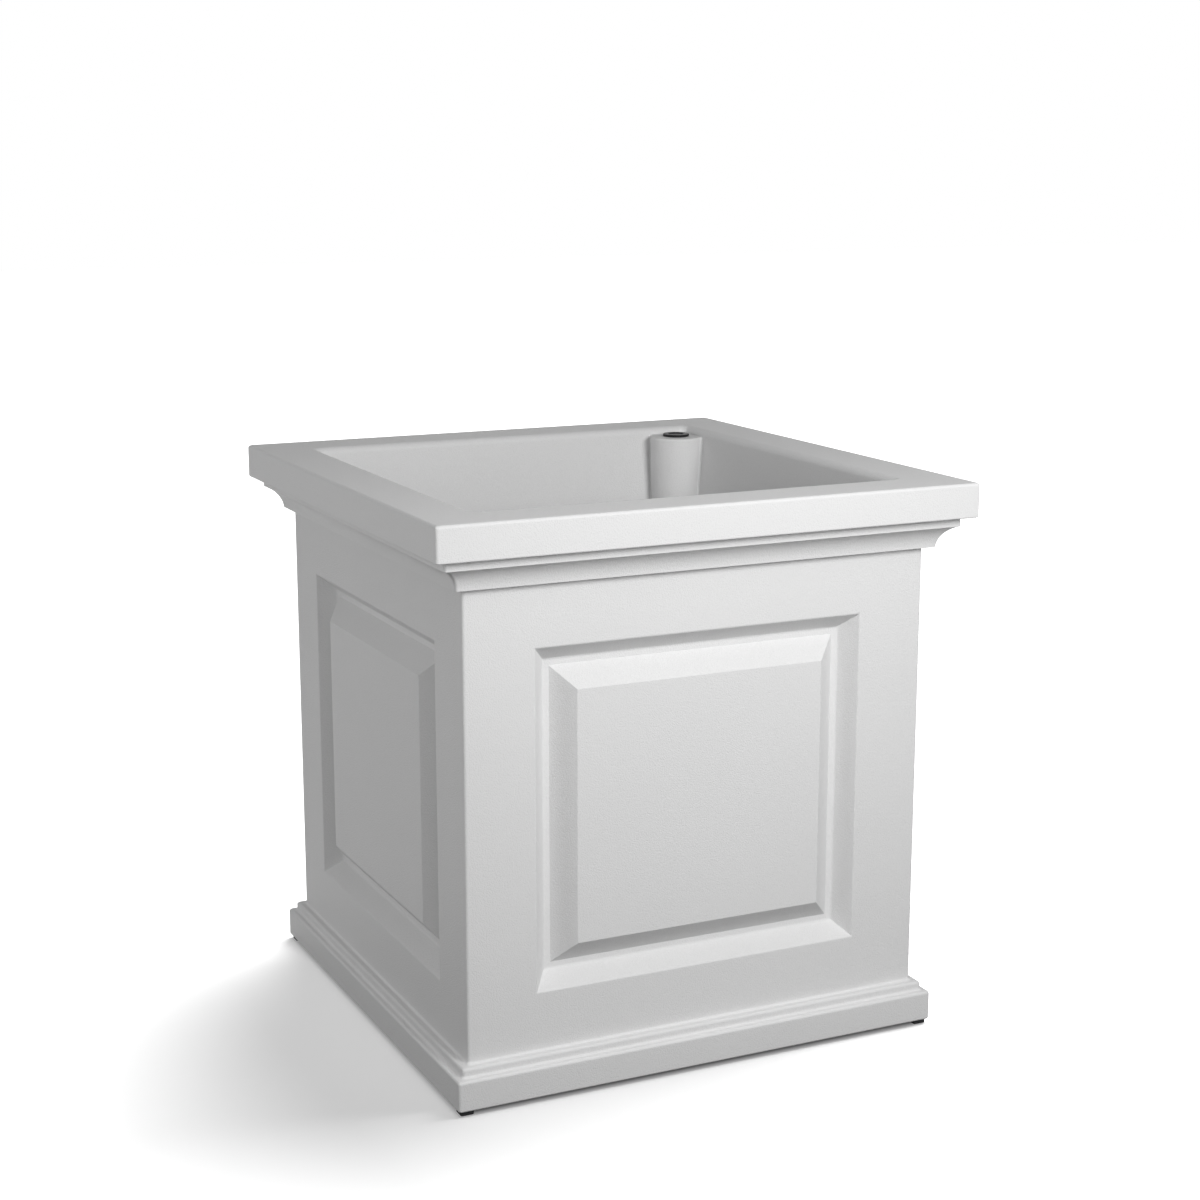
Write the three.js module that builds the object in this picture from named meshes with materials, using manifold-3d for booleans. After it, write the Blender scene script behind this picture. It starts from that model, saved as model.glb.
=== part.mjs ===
// Square self-watering floor planter with raised-panel sides, a crown rim and a stepped plinth.
// The body is one hollow double-walled moulding. Water goes in through a fill column in one corner
// and stands between the outer case and the liner, under the liner's floor, where a wick well dips
// into it. Lengths are in millimetres, +Z is up, and the origin is on the floor under the centre.
// The front face looks along -Y.

import * as THREE from 'three';
import { mergeVertices } from 'three/addons/utils/BufferGeometryUtils.js';
import Module from 'manifold-3d';

// ---- driving dimensions -----------------------------------------------------------------------

// overall
const HEIGHT = 506; // floor to the top of the rim
const BODY_WIDTH = 438.2; // across the flat sides
const WALL = 3.5; // every moulded wall
const CORNER_RADIUS = 2.5; // upright outer corners

// crown, from the top down; a projection is how far a member stands out from the flat side
const RIM_PROJECTION = 34.9;
const RIM_FACE = 31;
const RIM_TOP_RADIUS = 3;
const RIM_LOWER_RADIUS = 1.5;
const BAND_PROJECTION = 23.7;
const BAND_FACE = 8.6;
const COVE_HEIGHT = 19.8;
const COVE_RADIUS = 22.7;
const COVE_FOOT_PROJECTION = 8.6; // where the cove springs from the soffit

// plinth, from the floor up
const FOOT_GAP = 4; // clear height under the base
const PLINTH_PROJECTION = 14;
const PLINTH_HEIGHT = 27.5; // up to the first ledge
const PLINTH_LOWER_RADIUS = 2;
const STEP_PROJECTION = 7.7;
const STEP_HEIGHT = 8.3; // first ledge to second ledge
const STEP_RADIUS = 3; // rounded edge of each ledge
const STEP_FILLET = 3.2; // hollow corner at the back of each ledge

// raised panel on each side
const SIDES = 4;
const STILE_WIDTH = 63.4; // flat side left at each end of the recess
const LOWER_RAIL = 52.7; // second ledge up to the recess
const UPPER_RAIL = 55.1; // recess up to the soffit
const PANEL_BORDER = 38.3; // edge of the recess in to the raised field
const GROOVE_DEPTH = 16;
const GROOVE_SLOPE = 50; // outer side of the groove, in degrees from the flat side
const BEVEL_WIDTH = 19; // sloping border of the raised field
const PANEL_EDGE_RADIUS = 2.4; // rounding between the flat side and the groove
const GROOVE_RADIUS = 9; // hollow between the groove's outer side and its floor
const FIELD_EDGE_RADIUS = 1;

// liner
const RIM_LEDGE = 46; // flat top of the rim
const OPENING_RADIUS = 7.5; // soft inner edge of the rim
const LINER_DRAFT = 4.2; // lean of the inner walls, in degrees
const LINER_CORNER_RADIUS = 6;
const LINER_FLOOR_RADIUS = 12;
const RESERVOIR_HEIGHT = 106; // underside of the base up to the liner's floor

// fill column in the back right corner
const COLUMN_OFFSET = 20; // from the upper inner walls to the column's axis
const COLUMN_DIAMETER = 53;
const COLUMN_DRAFT = 1.5; // degrees
const COLUMN_DROP = 7.5; // rim top down to the column's top
const COLUMN_FILLET = 7; // hollow corner between the column and the walls
const COLUMN_EDGE_RADIUS = 2;

// wick well in the middle of the liner's floor
const WELL_WIDTH = 110;
const WELL_DRAFT = 6; // degrees
const WELL_CORNER_RADIUS = 14;
const SLOT_WIDTH = 6;
const SLOT_HEIGHT = 26;
const SLOT_PITCH = 20;
const SLOTS_PER_SIDE = 3;
const SLOT_SILL = 5; // well floor up to the slots

// raised middle of the underside
const PAN_MARGIN = 68; // from the plinth's face
const PAN_DEPTH = 5;
const PAN_CORNER_RADIUS = 24;

// plugs and washer
const BORE_DIAMETER = 20.4;
const BORE_CLEARANCE = 0.3; // between a plug's stem and its bore, on the radius
const SEAT_GAP = 0.3; // between faces that rest on each other
const PLUG_HEAD_OVERHANG = 3.3; // head past the bore
const PLUG_HEAD_THICKNESS = 2.3;
const PLUG_EDGE_RADIUS = 0.6;
const PLUG_RIM_WIDTH = 6; // head's edge to its dish
const PLUG_DISH_DEPTH = 1;
const PLUG_WEB = 2.2; // thickness under the dish
const PLUG_STEM_LENGTH = 14;
const PLUG_STEM_WALL = 1.8;
const PLUG_TIP_CHAMFER = 1.2;
const WASHER_RING = 2.3; // washer past the bore
const WASHER_THICKNESS = 1.6;

// foot pads
const PAD_WIDTH = 12;
const PAD_INSET = 2.6; // plinth's face to the pad
const PAD_SEAT_DEPTH = 1.2;
const PAD_SEAT_CLEARANCE = 0.3;
const PAD_CORNER_RADIUS = 1.5;
const PAD_CHAMFER = 0.6;

// facets
const CORNER_STEPS = 3;
const SMALL_ARC_STEPS = 3;
const FILLET_STEPS = 4;
const LARGE_ARC_STEPS = 7;
const COLUMN_FRONT_STEPS = 12;
const COLUMN_CORE_STEPS = 16;
const COLUMN_LEVELS = 8;
const SLOT_END_STEPS = 6;
const BORE_STEPS = 24;
const ROUND_STEPS = 48;

const OVERRUN = 1; // how far a cutter runs past what it cuts
const WELD_TOLERANCE = 1e-4;

// ---- values worked out from them --------------------------------------------------------------

const bodyHalf = BODY_WIDTH / 2;
const plinthHalf = bodyHalf + PLINTH_PROJECTION;
const stepHalf = bodyHalf + STEP_PROJECTION;
const rimHalf = bodyHalf + RIM_PROJECTION;
const bandHalf = bodyHalf + BAND_PROJECTION;
const coveFootHalf = bodyHalf + COVE_FOOT_PROJECTION;
const openingHalf = rimHalf - RIM_LEDGE - OPENING_RADIUS;

const plinthLedgeZ = FOOT_GAP + PLINTH_HEIGHT;
const stepLedgeZ = plinthLedgeZ + STEP_HEIGHT;
const rimSoffitZ = HEIGHT - RIM_FACE;
const bandFootZ = rimSoffitZ - BAND_FACE;
const soffitZ = bandFootZ - COVE_HEIGHT;

const panelWidth = BODY_WIDTH - 2 * STILE_WIDTH;
const panelFootZ = stepLedgeZ + LOWER_RAIL;
const panelHeight = soffitZ - UPPER_RAIL - panelFootZ;
const panelCentreZ = panelFootZ + panelHeight / 2;

const openingRoundZ = HEIGHT - OPENING_RADIUS;
const linerFloorZ = FOOT_GAP + RESERVOIR_HEIGHT;
const panTopZ = FOOT_GAP + PAN_DEPTH;
const wellFloorZ = panTopZ + 2 * WALL;

const columnAxis = openingHalf - COLUMN_OFFSET;
const columnTopZ = HEIGHT - COLUMN_DROP;
const drainZ = stepLedgeZ + LOWER_RAIL / 2;
const padAxis = plinthHalf - PAD_INSET - PAD_WIDTH / 2;

const radians = THREE.MathUtils.degToRad;
const degrees = THREE.MathUtils.radToDeg;

// ---- manifold helpers -------------------------------------------------------------------------

const wasm = await Module();
wasm.setup();

// The same surface with its shared corners joined and nothing but positions kept.
function weld(geometry) {
  const bare = geometry.clone();
  bare.deleteAttribute('normal');
  bare.deleteAttribute('uv');
  return mergeVertices(bare, WELD_TOLERANCE);
}

function toSolid(geometry) {
  const welded = weld(geometry);
  return new wasm.Manifold(new wasm.Mesh({
    numProp: 3,
    vertProperties: new Float32Array(welded.attributes.position.array),
    triVerts: new Uint32Array(welded.index.array),
  }));
}

function toGeometry(solid) {
  const mesh = solid.getMesh();
  const geometry = new THREE.BufferGeometry();
  geometry.setAttribute('position', new THREE.BufferAttribute(mesh.vertProperties, 3));
  geometry.setIndex(new THREE.BufferAttribute(mesh.triVerts, 1));
  return geometry;
}

// A copy turned about the planter's axis by quarter turns.
function turned(geometry, quarters) {
  return geometry.clone().rotateZ(quarters * Math.PI / 2);
}

// ---- outlines and profiles --------------------------------------------------------------------

// Points of an arc, angles in degrees, both ends included.
function arc(centreX, centreY, radius, from, to, steps) {
  return Array.from({ length: steps + 1 }, (_, i) => {
    const angle = radians(from + (to - from) * i / steps);
    return new THREE.Vector2(centreX + radius * Math.cos(angle), centreY + radius * Math.sin(angle));
  });
}

// Arc of a given radius from start to end, with its centre on the right of the line between them.
function arcBetween(start, end, radius, steps) {
  const chord = end.clone().sub(start);
  const rise = Math.sqrt(radius ** 2 - chord.lengthSq() / 4);
  const right = new THREE.Vector2(chord.y, -chord.x).normalize();
  const centre = start.clone().add(end).multiplyScalar(0.5).addScaledVector(right, rise);
  const from = degrees(start.clone().sub(centre).angle());
  const to = degrees(end.clone().sub(centre).angle());
  return arc(centre.x, centre.y, radius, from, to, steps);
}

// Square with rounded corners about the origin, anticlockwise.
function roundedSquare(half, radius) {
  const inner = half - radius;
  return [
    ...arc(inner, inner, radius, 0, 90, CORNER_STEPS),
    ...arc(-inner, inner, radius, 90, 180, CORNER_STEPS),
    ...arc(-inner, -inner, radius, 180, 270, CORNER_STEPS),
    ...arc(inner, -inner, radius, 270, 360, CORNER_STEPS),
  ];
}

// Closed body through a stack of anticlockwise outlines, lowest first, all with as many points.
function stack(levels) {
  const count = levels[0].outline.length;
  const positions = levels.flatMap(({ outline, z }) => outline.flatMap((p) => [p.x, p.y, z]));
  const index = [];
  for (let level = 0; level + 1 < levels.length; level += 1) {
    for (let i = 0; i < count; i += 1) {
      const a = level * count + i;
      const b = level * count + (i + 1) % count;
      index.push(a, b, b + count, a, b + count, a + count);
    }
  }
  const top = (levels.length - 1) * count;
  for (const [a, b, c] of THREE.ShapeUtils.triangulateShape(levels[0].outline, [])) {
    index.push(a, c, b);
  }
  for (const [a, b, c] of THREE.ShapeUtils.triangulateShape(levels.at(-1).outline, [])) {
    index.push(top + a, top + b, top + c);
  }
  const geometry = new THREE.BufferGeometry();
  geometry.setAttribute('position', new THREE.Float32BufferAttribute(positions, 3));
  geometry.setIndex(index);
  return geometry;
}

// Square body with a moulded profile: x is the half width and y the height of each profile point.
function squareBody(profile, cornerRadius) {
  return stack(profile.map((p) => ({ outline: roundedSquare(p.x, cornerRadius(p.x)), z: p.y })));
}

// Mitred frame: a closed section swept round a rectangle. In the section x is the distance in from
// the rectangle's edge and y the depth behind the front face.
function mitredFrame(section, width, height, centreZ, faceY) {
  const corners = [[-1, -1], [1, -1], [1, 1], [-1, 1]];
  const positions = corners.flatMap(([sideX, sideZ]) => section.flatMap((p) => [
    sideX * (width / 2 - p.x),
    faceY + p.y,
    centreZ + sideZ * (height / 2 - p.x),
  ]));
  const count = section.length;
  const index = [];
  for (let corner = 0; corner < corners.length; corner += 1) {
    const next = (corner + 1) % corners.length;
    for (let i = 0; i < count; i += 1) {
      const j = (i + 1) % count;
      const a = corner * count + i;
      const b = corner * count + j;
      const c = next * count + j;
      const d = next * count + i;
      index.push(a, b, c, a, c, d);
    }
  }
  const geometry = new THREE.BufferGeometry();
  geometry.setAttribute('position', new THREE.Float32BufferAttribute(positions, 3));
  geometry.setIndex(index);
  return geometry;
}

// ---- planter body: outside --------------------------------------------------------------------

function ledgeProfile(outerHalf, innerHalf, ledgeZ) {
  return [
    ...arc(outerHalf - STEP_RADIUS, ledgeZ - STEP_RADIUS, STEP_RADIUS, 0, 90, SMALL_ARC_STEPS),
    ...arc(innerHalf + STEP_FILLET, ledgeZ + STEP_FILLET, STEP_FILLET, 270, 180, SMALL_ARC_STEPS),
  ];
}

const coveStart = new THREE.Vector2(coveFootHalf, soffitZ);
const coveEnd = new THREE.Vector2(bandHalf, bandFootZ);

function outsideBody() {
  const profile = [
    ...arc(plinthHalf - PLINTH_LOWER_RADIUS, FOOT_GAP + PLINTH_LOWER_RADIUS, PLINTH_LOWER_RADIUS,
      -90, 0, SMALL_ARC_STEPS),
    ...ledgeProfile(plinthHalf, stepHalf, plinthLedgeZ),
    ...ledgeProfile(stepHalf, bodyHalf, stepLedgeZ),
    new THREE.Vector2(bodyHalf, soffitZ),
    ...arcBetween(coveStart, coveEnd, COVE_RADIUS, LARGE_ARC_STEPS),
    new THREE.Vector2(bandHalf, rimSoffitZ),
    ...arc(rimHalf - RIM_LOWER_RADIUS, rimSoffitZ + RIM_LOWER_RADIUS, RIM_LOWER_RADIUS,
      -90, 0, SMALL_ARC_STEPS),
    ...arc(rimHalf - RIM_TOP_RADIUS, HEIGHT - RIM_TOP_RADIUS, RIM_TOP_RADIUS, 0, 90, SMALL_ARC_STEPS),
  ];
  return squareBody(profile, () => CORNER_RADIUS);
}

// ---- planter body: raised panels --------------------------------------------------------------

const grooveSlope = radians(GROOVE_SLOPE);
const bevelSlope = Math.atan2(GROOVE_DEPTH, BEVEL_WIDTH);

// Distance in from the recess's edge of the groove's outer side at some depth, moved out by grow.
function grooveSideAt(depth, grow) {
  const run = (depth - grow * Math.cos(grooveSlope)) / Math.tan(grooveSlope);
  return run - grow * Math.sin(grooveSlope);
}

// The same for the bevel that climbs to the raised field.
function bevelAt(depth, grow) {
  const run = (depth - grow * Math.cos(bevelSlope)) / Math.tan(bevelSlope);
  return PANEL_BORDER + grow * Math.sin(bevelSlope) - run;
}

// Arc that rounds the corner between two straight runs, given the corner and a point on each run.
function roundedCorner(before, corner, after, radius, steps) {
  const back = before.clone().sub(corner).normalize();
  const ahead = after.clone().sub(corner).normalize();
  const halfAngle = Math.acos(THREE.MathUtils.clamp(back.dot(ahead), -1, 1)) / 2;
  const reach = radius / Math.tan(halfAngle);
  const centre = corner.clone()
    .addScaledVector(back.clone().add(ahead).normalize(), radius / Math.sin(halfAngle));
  const first = corner.clone().addScaledVector(back, reach).sub(centre);
  const last = corner.clone().addScaledVector(ahead, reach).sub(centre);
  const sweep = Math.atan2(first.cross(last), first.dot(last));
  return Array.from({ length: steps + 1 }, (_, i) => first.clone()
    .rotateAround(new THREE.Vector2(), sweep * i / steps).add(centre));
}

function panelCut() {
  const edge = new THREE.Vector2(0, 0);
  const outside = new THREE.Vector2(-PANEL_BORDER, 0);
  const sideFoot = new THREE.Vector2(grooveSideAt(GROOVE_DEPTH, 0), GROOVE_DEPTH);
  const bevelFoot = new THREE.Vector2(PANEL_BORDER - BEVEL_WIDTH, GROOVE_DEPTH);
  const fieldEdge = new THREE.Vector2(PANEL_BORDER, 0);
  const field = new THREE.Vector2(2 * PANEL_BORDER, 0);
  const edgeRound = roundedCorner(outside, edge, sideFoot, PANEL_EDGE_RADIUS, SMALL_ARC_STEPS);
  const hollow = roundedCorner(edge, sideFoot, bevelFoot, GROOVE_RADIUS, LARGE_ARC_STEPS);
  const fieldRound = roundedCorner(bevelFoot, fieldEdge, field, FIELD_EDGE_RADIUS, SMALL_ARC_STEPS);
  const section = [
    new THREE.Vector2(edgeRound[0].x, -OVERRUN),
    ...edgeRound,
    ...hollow,
    bevelFoot,
    ...fieldRound,
    new THREE.Vector2(fieldRound.at(-1).x, -OVERRUN),
  ];
  return mitredFrame(section, panelWidth, panelHeight, panelCentreZ, -bodyHalf);
}

// Room that the panel's wall takes up behind the groove, seen from the hollow.
function panelBacking() {
  const near = WALL - OVERRUN;
  const far = GROOVE_DEPTH + WALL;
  const section = [
    new THREE.Vector2(grooveSideAt(near, WALL), near),
    new THREE.Vector2(grooveSideAt(far, WALL), far),
    new THREE.Vector2(bevelAt(far, WALL), far),
    new THREE.Vector2(bevelAt(near, WALL), near),
  ];
  return mitredFrame(section, panelWidth, panelHeight, panelCentreZ, -bodyHalf);
}

// ---- planter body: liner ----------------------------------------------------------------------

function linerHalfAt(z) {
  return openingHalf - (openingRoundZ - z) * Math.tan(radians(LINER_DRAFT));
}

function linerCorner(half) {
  return LINER_CORNER_RADIUS + Math.max(0, half - openingHalf);
}

function linerCavity() {
  const filletZ = linerFloorZ + LINER_FLOOR_RADIUS;
  const filletCentre = linerHalfAt(filletZ) - LINER_FLOOR_RADIUS;
  const profile = [
    ...arc(filletCentre, filletZ, LINER_FLOOR_RADIUS, -90, 0, FILLET_STEPS),
    ...arc(openingHalf + OPENING_RADIUS, openingRoundZ, OPENING_RADIUS, 180, 90, LARGE_ARC_STEPS),
    new THREE.Vector2(openingHalf + OPENING_RADIUS, HEIGHT + OVERRUN),
  ];
  return squareBody(profile, linerCorner);
}

// The liner with its walls: what the hollow keeps clear of.
function linerWithWalls() {
  const floorZ = linerFloorZ - WALL;
  const profile = [
    new THREE.Vector2(linerHalfAt(floorZ) + WALL, floorZ),
    new THREE.Vector2(openingHalf + WALL, openingRoundZ),
    new THREE.Vector2(openingHalf + OPENING_RADIUS, HEIGHT - WALL),
    new THREE.Vector2(openingHalf + OPENING_RADIUS, HEIGHT),
  ];
  return squareBody(profile, linerCorner);
}

function wellHalfAt(z) {
  return WELL_WIDTH / 2 - (linerFloorZ - z) * Math.tan(radians(WELL_DRAFT));
}

// Tapered square well from the liner's floor down, grown outwards by grow.
function well(grow) {
  const bottomZ = wellFloorZ - grow;
  const topZ = linerFloorZ + OVERRUN;
  const profile = [
    new THREE.Vector2(wellHalfAt(bottomZ) + grow, bottomZ),
    new THREE.Vector2(wellHalfAt(topZ) + grow, topZ),
  ];
  return squareBody(profile, () => WELL_CORNER_RADIUS + grow);
}

// Upright slot with round ends, long enough to pass through both sides of the well.
function slotBar(offset) {
  const shape = new THREE.Shape();
  const straight = SLOT_HEIGHT / 2 - SLOT_WIDTH / 2;
  shape.absarc(0, straight, SLOT_WIDTH / 2, 0, Math.PI, false);
  shape.absarc(0, -straight, SLOT_WIDTH / 2, Math.PI, 2 * Math.PI, false);
  const length = WELL_WIDTH + 2 * (WALL + OVERRUN);
  const options = { depth: length, bevelEnabled: false, curveSegments: SLOT_END_STEPS };
  return new THREE.ExtrudeGeometry(shape, options)
    .translate(0, 0, -length / 2)
    .rotateX(Math.PI / 2)
    .translate(offset, 0, wellFloorZ + SLOT_SILL + SLOT_HEIGHT / 2);
}

// ---- planter body: fill column ----------------------------------------------------------------

function columnRadiusAt(z) {
  return COLUMN_DIAMETER / 2 - (columnTopZ - z) * Math.tan(radians(COLUMN_DRAFT));
}

// Plan of the column at one height: a round front with a hollow fillet to each inner wall, closed
// behind the walls.
function columnOutline(z, radius) {
  const wall = linerHalfAt(Math.min(z, openingRoundZ));
  const filletCentreAcross = wall - COLUMN_FILLET;
  const across = filletCentreAcross - columnAxis;
  const along = Math.sqrt((radius + COLUMN_FILLET) ** 2 - across ** 2);
  const lean = degrees(Math.atan2(across, along));
  const behind = wall + OVERRUN;
  const fillet = (x, y, from, to) => arc(x, y, COLUMN_FILLET, from, to, FILLET_STEPS);
  const backFillet = fillet(columnAxis - along, filletCentreAcross, 90, -lean);
  const front = arc(columnAxis, columnAxis, radius, 180 - lean, 270 + lean, COLUMN_FRONT_STEPS);
  const rightFillet = fillet(filletCentreAcross, columnAxis - along, 90 + lean, 0);
  return [
    new THREE.Vector2(behind, behind),
    new THREE.Vector2(backFillet[0].x, behind),
    ...backFillet,
    ...front.slice(1, -1),
    ...rightFillet,
    new THREE.Vector2(behind, rightFillet.at(-1).y),
  ];
}

// Height at which the leaning walls have swallowed the column's round front and its fillets meet.
function columnVanishesAt() {
  const loss = Math.SQRT2 * Math.tan(radians(LINER_DRAFT)) + Math.tan(radians(COLUMN_DRAFT));
  const room = linerHalfAt(columnTopZ) - columnAxis - COLUMN_FILLET;
  const frontAtTop = COLUMN_DIAMETER / 2 + COLUMN_FILLET + Math.SQRT2 * room;
  return columnTopZ - frontAtTop / loss;
}

function column() {
  const footZ = Math.max(linerFloorZ - OVERRUN, columnVanishesAt() + OVERRUN);
  const roundZ = columnTopZ - COLUMN_EDGE_RADIUS;
  const shaft = Array.from({ length: COLUMN_LEVELS }, (_, i) => {
    const z = footZ + (roundZ - footZ) * i / COLUMN_LEVELS;
    return new THREE.Vector2(columnRadiusAt(z), z);
  });
  const top = arc(columnRadiusAt(roundZ) - COLUMN_EDGE_RADIUS, roundZ, COLUMN_EDGE_RADIUS,
    0, 90, SMALL_ARC_STEPS);
  return stack([...shaft, ...top].map((p) => ({ outline: columnOutline(p.y, p.x), z: p.y })));
}

// Hollow inside the column, open below and towards the corner of the case.
function columnCore() {
  const footZ = linerFloorZ - WALL - OVERRUN;
  const topZ = columnTopZ - WALL;
  const caseCorner = bodyHalf - WALL;
  const levels = [footZ, topZ].map((z) => {
    const radius = columnRadiusAt(z) - WALL;
    return {
      outline: [
        ...arc(columnAxis, columnAxis, radius, 135, 315, COLUMN_CORE_STEPS),
        ...arc(caseCorner, caseCorner, radius, -45, 135, SMALL_ARC_STEPS),
      ],
      z,
    };
  });
  return stack(levels);
}

// ---- planter body: hollow ---------------------------------------------------------------------

// Inner face of the outer case, one wall inside the outside profile.
function caseInside() {
  const chord = coveEnd.clone().sub(coveStart);
  const inward = new THREE.Vector2(-chord.y, chord.x).setLength(WALL);
  const coveRun = arcBetween(coveStart.clone().add(inward), coveEnd.clone().add(inward),
    COVE_RADIUS + WALL, FILLET_STEPS);
  const profile = [
    new THREE.Vector2(plinthHalf - WALL, FOOT_GAP + WALL),
    new THREE.Vector2(plinthHalf - WALL, plinthLedgeZ - WALL),
    new THREE.Vector2(stepHalf - WALL, plinthLedgeZ - WALL),
    new THREE.Vector2(stepHalf - WALL, stepLedgeZ - WALL),
    new THREE.Vector2(bodyHalf - WALL, stepLedgeZ - WALL),
    new THREE.Vector2(bodyHalf - WALL, soffitZ + WALL),
    ...coveRun.filter((p) => p.y > soffitZ + WALL && p.x < bandHalf - WALL),
    new THREE.Vector2(bandHalf - WALL, bandFootZ + WALL),
    new THREE.Vector2(bandHalf - WALL, rimSoffitZ + WALL),
    new THREE.Vector2(rimHalf - WALL, rimSoffitZ + WALL),
    new THREE.Vector2(rimHalf - WALL, HEIGHT - WALL),
  ];
  return squareBody(profile, () => CORNER_RADIUS);
}

// Shallow raised middle of the underside, grown by grow.
function basePan(grow) {
  const half = plinthHalf - PAN_MARGIN + grow;
  const profile = [
    new THREE.Vector2(half + PAN_DEPTH, FOOT_GAP - OVERRUN),
    new THREE.Vector2(half + PAN_DEPTH, FOOT_GAP + grow),
    new THREE.Vector2(half, panTopZ + grow),
  ];
  return squareBody(profile, () => PAN_CORNER_RADIUS + grow);
}

// ---- bores and seats --------------------------------------------------------------------------

// Bore through one wall, along +Y, with the wall's outer face at zero.
function boreCutter() {
  const length = 2 * (WALL + OVERRUN);
  return new THREE.CylinderGeometry(BORE_DIAMETER / 2, BORE_DIAMETER / 2, length, BORE_STEPS);
}

const fillBore = boreCutter().rotateX(Math.PI / 2).translate(columnAxis, columnAxis, columnTopZ);
const drainBore = boreCutter().translate(0, bodyHalf, drainZ);

function padSeat(sideX, sideY) {
  const half = PAD_WIDTH / 2 + PAD_SEAT_CLEARANCE;
  const outline = roundedSquare(half, PAD_CORNER_RADIUS + PAD_SEAT_CLEARANCE);
  return stack([
    { outline, z: FOOT_GAP - OVERRUN },
    { outline, z: FOOT_GAP + PAD_SEAT_DEPTH },
  ]).translate(sideX * padAxis, sideY * padAxis, 0);
}

// ---- the pieces -------------------------------------------------------------------------------

const corners = {
  front_left: [-1, -1],
  front_right: [1, -1],
  back_left: [-1, 1],
  back_right: [1, 1],
};

// Water space between the case and the liner, up into the crown.
function hollowCutter() {
  const liner = toSolid(linerWithWalls()).add(toSolid(well(WALL))).subtract(toSolid(columnCore()));
  let hollow = toSolid(caseInside()).subtract(liner).subtract(toSolid(basePan(WALL)));
  for (let side = 0; side < SIDES; side += 1) {
    hollow = hollow.subtract(toSolid(turned(panelBacking(), side)));
  }
  return hollow;
}

// Planting space with the well in its floor.
function cavityCutter() {
  return toSolid(linerCavity()).subtract(toSolid(column())).add(toSolid(well(0)));
}

function planterShell() {
  let shell = toSolid(outsideBody())
    .subtract(cavityCutter())
    .subtract(hollowCutter())
    .subtract(toSolid(basePan(0)))
    .subtract(toSolid(fillBore))
    .subtract(toSolid(drainBore));
  for (let side = 0; side < SIDES; side += 1) {
    shell = shell.subtract(toSolid(turned(panelCut(), side)));
  }
  for (let i = 0; i < SLOTS_PER_SIDE; i += 1) {
    const bar = slotBar((i - (SLOTS_PER_SIDE - 1) / 2) * SLOT_PITCH);
    shell = shell.subtract(toSolid(bar)).subtract(toSolid(turned(bar, 1)));
  }
  for (const [sideX, sideY] of Object.values(corners)) {
    shell = shell.subtract(toSolid(padSeat(sideX, sideY)));
  }
  return toGeometry(shell);
}

// Push-in plug along +Z with the underside of its head at zero: a dished head on a hollow stem.
function plug() {
  const head = BORE_DIAMETER / 2 + PLUG_HEAD_OVERHANG;
  const stem = BORE_DIAMETER / 2 - BORE_CLEARANCE;
  const dish = head - PLUG_RIM_WIDTH;
  const dishZ = PLUG_HEAD_THICKNESS - PLUG_DISH_DEPTH;
  const profile = [
    new THREE.Vector2(0, dishZ - PLUG_WEB),
    new THREE.Vector2(stem - PLUG_STEM_WALL, dishZ - PLUG_WEB),
    new THREE.Vector2(stem - PLUG_STEM_WALL, -PLUG_STEM_LENGTH),
    new THREE.Vector2(stem - PLUG_TIP_CHAMFER / 2, -PLUG_STEM_LENGTH),
    new THREE.Vector2(stem, -PLUG_STEM_LENGTH + PLUG_TIP_CHAMFER),
    new THREE.Vector2(stem, 0),
    new THREE.Vector2(head, 0),
    ...arc(head - PLUG_EDGE_RADIUS, PLUG_HEAD_THICKNESS - PLUG_EDGE_RADIUS, PLUG_EDGE_RADIUS,
      0, 90, SMALL_ARC_STEPS),
    new THREE.Vector2(dish + PLUG_EDGE_RADIUS, PLUG_HEAD_THICKNESS),
    new THREE.Vector2(dish, dishZ),
    new THREE.Vector2(0, dishZ),
  ];
  return new THREE.LatheGeometry(profile, ROUND_STEPS).rotateX(Math.PI / 2);
}

// Flat ring along +Z, standing on zero.
function washer() {
  const inner = BORE_DIAMETER / 2;
  const outer = inner + WASHER_RING;
  const profile = [
    new THREE.Vector2(inner, 0),
    new THREE.Vector2(outer, 0),
    new THREE.Vector2(outer, WASHER_THICKNESS),
    new THREE.Vector2(inner, WASHER_THICKNESS),
    new THREE.Vector2(inner, 0),
  ];
  return new THREE.LatheGeometry(profile, ROUND_STEPS).rotateX(Math.PI / 2);
}

function footPad() {
  const topZ = FOOT_GAP + PAD_SEAT_DEPTH - SEAT_GAP;
  const half = PAD_WIDTH / 2;
  return stack([
    { outline: roundedSquare(half - PAD_CHAMFER, PAD_CORNER_RADIUS), z: 0 },
    { outline: roundedSquare(half, PAD_CORNER_RADIUS), z: PAD_CHAMFER },
    { outline: roundedSquare(half, PAD_CORNER_RADIUS), z: topZ },
  ]);
}

// ---- materials and assembly -------------------------------------------------------------------

const whiteMoulding = new THREE.MeshStandardMaterial({ color: 0xe9e9e9, roughness: 0.6, metalness: 0 });
const blackPlug = new THREE.MeshStandardMaterial({ color: 0x141414, roughness: 0.45, metalness: 0 });
const rubber = new THREE.MeshStandardMaterial({ color: 0x1c1c1c, roughness: 0.8, metalness: 0 });

const planter = new THREE.Group();

function place(name, geometry, material, x, y, z) {
  const welded = weld(geometry);
  welded.computeVertexNormals();
  const mesh = new THREE.Mesh(welded, material);
  mesh.name = name;
  mesh.position.set(x, y, z);
  planter.add(mesh);
  return mesh;
}

const towardsBack = -Math.PI / 2; // turns +Z to +Y
const washerY = bodyHalf + SEAT_GAP;
const drainPlugY = washerY + WASHER_THICKNESS + SEAT_GAP;

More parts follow.
